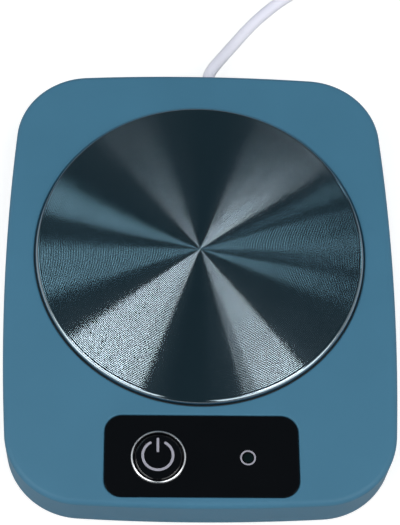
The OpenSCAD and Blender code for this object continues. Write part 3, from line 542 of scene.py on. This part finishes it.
carve(
    cover,
    ("DIFFERENCE", hollow),
    ("UNION", pad),
    ("UNION", together(*(posts(places, r, low, boss_root) for places, r, low, _, _ in bosses))),
    ("DIFFERENCE", together(opening, *(posts(places, hole_r, 0, hole_top, 24)
                                       for places, _, _, hole_r, hole_top in bosses))),
    ("DIFFERENCE", together(recess, relief_notch)),
    ("DIFFERENCE", together(
        posts([button_at], button_hole_r, panel_holes_from, panel_holes_to, 120),
        posts([light_at], light_hole_r, panel_holes_from, panel_holes_to, 48))),
)
soften(cover)
dress(cover, case_blue)
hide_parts("top_cover")

# ---------------------------------------------------------------- panel, button and light
# A polished black acrylic panel lies in the recess. A plated ring stands up round the push button,
# whose mark is printed in silver, and a second printed ring frames the light's dark window.
panel_face, cap_face, window_face = 16.45, 16.7, 16.4
print_proud, print_sunk = 0.03, 0.01
mark_at = (-12.57, -56.15)
mark_radius, mark_line, mark_gap = 4.33, 0.74, 30
bar_from, bar_to = 0.95, 5.3
light_ring_at, light_ring_inner, light_ring_outer = (13.2, -56.65), 1.8, 2.25
glow_r, glow_fade, glow_left = 1.1, 0.4, 0.04

panel_black = finish("panel_black", (0.0028, 0.0025, 0.0032), 0.06, rough_play=0.02,
                     grain=(60, 0.002))
button_black = finish("button_black", (0.0024, 0.0021, 0.0028), 0.09, rough_play=0.02,
                      grain=(400, 0.001))
bezel_chrome = finish("bezel_chrome", (0.82, 0.83, 0.85), 0.27, metal=1.0, grain=(900, 0.0))
window_dark = finish("window_dark", (0.0012, 0.005, 0.006), 0.15, grain=(2200, 0.02))
silver_print = finish("silver_print", (0.33, 0.32, 0.375), 0.4, cloud=(600, 0.05),
                      grain=(4000, 0.004))
dress_nodes(panel_black, "panel_lens")
dress_nodes(button_black, "power_button")
# The window's middle is painted a lighter teal that fades to near black round it: a painted glow of
# the light behind it.
nodes, links = window_dark.node_tree.nodes, window_dark.node_tree.links
from_light = nodes.new("ShaderNodeVectorMath")
from_light.operation = "DISTANCE"
from_light.inputs[1].default_value = (*metres(light_at), window_face * 0.001)
painted_glow_share = nodes.new("ShaderNodeMapRange")
painted_glow_share.inputs["From Min"].default_value = glow_r * 0.001
painted_glow_share.inputs["From Max"].default_value = (glow_r + glow_fade) * 0.001
painted_glow_share.inputs["To Min"].default_value = 1
painted_glow_share.inputs["To Max"].default_value = glow_left
painted_glow_colour = nodes.new("ShaderNodeVectorMath")
painted_glow_colour.operation = "SCALE"
links.new(nodes["Texture Coordinate"].outputs["Object"], from_light.inputs[0])
links.new(from_light.outputs["Value"], painted_glow_share.inputs["Value"])
links.new(nodes["Color Ramp"].outputs["Color"], painted_glow_colour.inputs[0])
links.new(painted_glow_share.outputs["Result"], painted_glow_colour.inputs["Scale"])
links.new(painted_glow_colour.outputs["Vector"], nodes["Principled BSDF"].inputs["Base Color"])
dress_nodes(window_dark, "light_window")

ring_profile = [(7.4, 14.8), (7.5, 14.8), (7.5, 16.45), (7.85, 16.45), (7.85, 16.78), (7.83, 16.86),
                (7.78, 16.92), (7.5, 17.1), (7.45, 17.12), (7.42, 17.1), (7.4, 17.05)]
sleeve_profile = [(7.05, 13.5), (7.5, 13.5), (7.5, 14.8), (7.4, 14.8), (7.4, 16.72), (7.34, 16.78),
                  (7.1, 16.78), (7.05, 16.73)]


def turned_ring(name, profile):
    """A ring round the button from its closed section."""
    return piece(name, *skin([circle(r, z, 128, button_at) for r, z in profile + profile[:1]],
                             closed_ends=False))


sleeve = turned_ring("button_sleeve", sleeve_profile)
dress(sleeve, button_black)
bezel = turned_ring("button_ring", ring_profile)
dress(bezel, bezel_chrome)
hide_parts("button_bezel")


def power_mark():
    """Points and faces of the ring that is open at the top and of the bar in its gap."""
    x, y = mark_at
    half = mark_line / 2
    start, end = 90 + mark_gap, 450 - mark_gap
    ends = [(x + mark_radius * math.cos(t), y + mark_radius * math.sin(t))
            for t in np.radians((start, end))]
    ring = np.vstack([
        arc((x, y), mark_radius + half, start, end, 96),
        arc(ends[1], half, end, end + 180, 10),
        arc((x, y), mark_radius - half, end, start, 96),
        arc(ends[0], half, start + 180, start + 360, 10)])
    bar = np.vstack([arc((x, y + bar_to - half), half, 0, 180, 12),
                     arc((x, y + bar_from + half), half, 180, 360, 12)])
    low, high = cap_face - print_sunk, cap_face + print_proud
    return together(*(skin([at_height(o, low), at_height(o, high)]) for o in (ring, bar)))


def looped(rings):
    """Points and faces of a skin that also runs from the last ring back to the first."""
    n = len(rings[0])
    points, faces = skin(rings, closed_ends=False)
    last = len(points) - n
    faces += [(last + k, last + (k + 1) % n, (k + 1) % n, k) for k in range(n)]
    return points, faces


mark = piece("power_mark", *power_mark(), body="button")
dress(mark, silver_print)
print_low, print_high = panel_face - print_sunk, panel_face + print_proud
light_ring = piece("light_ring", *looped([circle(r, z, 64, light_ring_at) for r, z in (
    (light_ring_inner, print_low), (light_ring_outer, print_low),
    (light_ring_outer, print_high), (light_ring_inner, print_high))]))
dress(light_ring, silver_print)

# ---------------------------------------------------------------- table, room and lamps
# A pale table in a dim room, both white to the camera's own rays. Two large soft lamps stand in
# front, left and right, with two weaker ones at the sides, and narrow lamps over the plate give its
# grooves their bright wedges.
table_half = 20
table_grey = 0.46
white_from, white_to, near_share = 0.3, 1.2, 0.7
mirrored_share = 0.05

table_material = bpy.data.materials.new("table_white")
table_material.use_nodes = True
nodes, links = table_material.node_tree.nodes, table_material.node_tree.links
shader = nodes["Principled BSDF"]
shader.inputs["Base Color"].default_value = (table_grey, table_grey, table_grey, 1)
shader.inputs["Roughness"].default_value = 0.7
rays = nodes.new("ShaderNodeLightPath")
far = nodes.new("ShaderNodeVectorMath")
far.operation = "LENGTH"
links.new(nodes.new("ShaderNodeTexCoord").outputs["Object"], far.inputs[0])
whiten = nodes.new("ShaderNodeMapRange")
whiten.inputs["From Min"].default_value = white_from
whiten.inputs["From Max"].default_value = white_to
whiten.inputs["To Min"].default_value = near_share
whiten.inputs["To Max"].default_value = 1
links.new(far.outputs["Value"], whiten.inputs["Value"])
glow = nodes.new("ShaderNodeMath")
glow.operation = "MULTIPLY"
links.new(rays.outputs["Is Camera Ray"], glow.inputs[0])
links.new(whiten.outputs["Result"], glow.inputs[1])
for kind in ("Is Glossy Ray", "Is Transmission Ray"):
    more = nodes.new("ShaderNodeMath")
    more.operation = "MULTIPLY_ADD"
    more.inputs[1].default_value = mirrored_share
    links.new(rays.outputs[kind], more.inputs[0])
    links.new(glow.outputs[0], more.inputs[2])
    glow = more
shader.inputs["Emission Color"].default_value = (1, 1, 1, 1)
links.new(glow.outputs[0], shader.inputs["Emission Strength"])
table_mesh = bpy.data.meshes.new("table")
table_mesh.from_pydata(
    [(table_half * x, table_half * y, 0) for x, y in ((-1, -1), (1, -1), (1, 1), (-1, 1))],
    [], [(0, 1, 2, 3)])
table = bpy.data.objects.new("table", table_mesh)
table.data.materials.append(table_material)
bpy.context.scene.collection.objects.link(table)

room = bpy.data.worlds.new("room")
room.use_nodes = True
bpy.context.scene.world = room
nodes, links = room.node_tree.nodes, room.node_tree.links
split = nodes.new("ShaderNodeSeparateXYZ")
bands = nodes.new("ShaderNodeValToRGB")
stops = [(0.0, (0.78, 0.79, 0.81)), (0.1, (0.74, 0.75, 0.77)), (0.2, (0.045, 0.07, 0.085)),
         (0.5, (0.031, 0.057, 0.069))]
for i, (at, colour) in enumerate(stops):
    stop = bands.color_ramp.elements[i] if i < 2 else bands.color_ramp.elements.new(at)
    stop.position = at
    stop.color = (*colour, 1)
links.new(nodes.new("ShaderNodeTexCoord").outputs["Generated"], split.inputs[0])
links.new(split.outputs["Z"], bands.inputs["Fac"])
behind = nodes.new("ShaderNodeMix")
behind.data_type = "RGBA"
behind.inputs["B"].default_value = (1, 1, 1, 1)
links.new(nodes.new("ShaderNodeLightPath").outputs["Is Camera Ray"], behind.inputs["Factor"])
links.new(bands.outputs["Color"], behind.inputs["A"])
links.new(behind.outputs["Result"], nodes["Background"].inputs["Color"])

mirror_point = (0.041, 0.436)
lit_point = Vector((0, 0.009, 0.018))
wedge_depth = 0.1


def lamp(name, sideways, onwards, width, depth, radiance, colour=(1, 1, 1)):
    """A flat soft lamp a metre off that faces the plate.

    sideways and onwards say where it stands over the table, and depth is its size along the line
    to mirror_point, which is where the flat of the plate would mirror a lamp into the camera.
    """
    to_lamp = Vector((sideways, onwards, math.sqrt(1 - sideways ** 2 - onwards ** 2)))
    along = Vector((sideways - mirror_point[0], onwards - mirror_point[1], 0))
    along = (along - to_lamp * along.dot(to_lamp)).normalized()
    data = bpy.data.lights.new(name, "AREA")
    data.shape = "RECTANGLE"
    data.size, data.size_y = width, depth
    data.energy = radiance * math.pi * width * depth
    data.color = colour
    thing = bpy.data.objects.new(name, data)
    thing.matrix_world = Matrix.Translation(to_lamp + lit_point) @ Matrix(
        (along.cross(to_lamp), along, to_lamp)).transposed().to_4x4()
    bpy.context.scene.collection.objects.link(thing)


def wedge_lamp(name, turn, spread, reach, radiance, colour=(1, 1, 1)):
    """A narrow lamp that lights the wedge of the plate's grooves at turn, spread degrees wide."""
    t = math.radians(turn)
    lamp(name, mirror_point[0] + reach * math.cos(t), mirror_point[1] + reach * math.sin(t),
         2 * reach * math.tan(math.radians(spread / 2)), wedge_depth, radiance, colour)


lamp("key_left", -0.59, -0.41, 0.9, 0.68, 2.52)
lamp("key_right", 0.52, -0.47, 0.9, 0.68, 2.52)
lamp("side_left", -0.86, 0.06, 1.2, 1.0, 0.6)
lamp("side_right", 0.86, 0.06, 1.2, 1.0, 0.45)
for k, (turn, spread, reach, radiance) in enumerate((
        (221.9, 13, 0.38, 11.0), (233.1, 10, 0.42, 11.8), (242.8, 10, 0.48, 12.6))):
    wedge_lamp(f"wedge_left_{k}", turn, spread, reach, radiance)
for k, (turn, spread, reach, radiance) in enumerate((
        (288, 5, 0.53, 7.2), (294.9, 8.8, 0.52, 16.0), (304.2, 10, 0.505, 15.5))):
    wedge_lamp(f"wedge_right_{k}", turn, spread, reach, radiance)
rear_tint = (0.58, 0.88, 1)
for k, (turn, spread, reach, radiance) in enumerate((
        (160.5, 13, 0.29, 3.6), (187.5, 21, 0.29, 3.0), (358, 14, 0.5, 2.6), (24, 7, 0.46, 3.4))):
    wedge_lamp(f"wedge_rear_{k}", turn, spread, reach, radiance, rear_tint)

bpy.context.scene.view_settings.view_transform = "Standard"
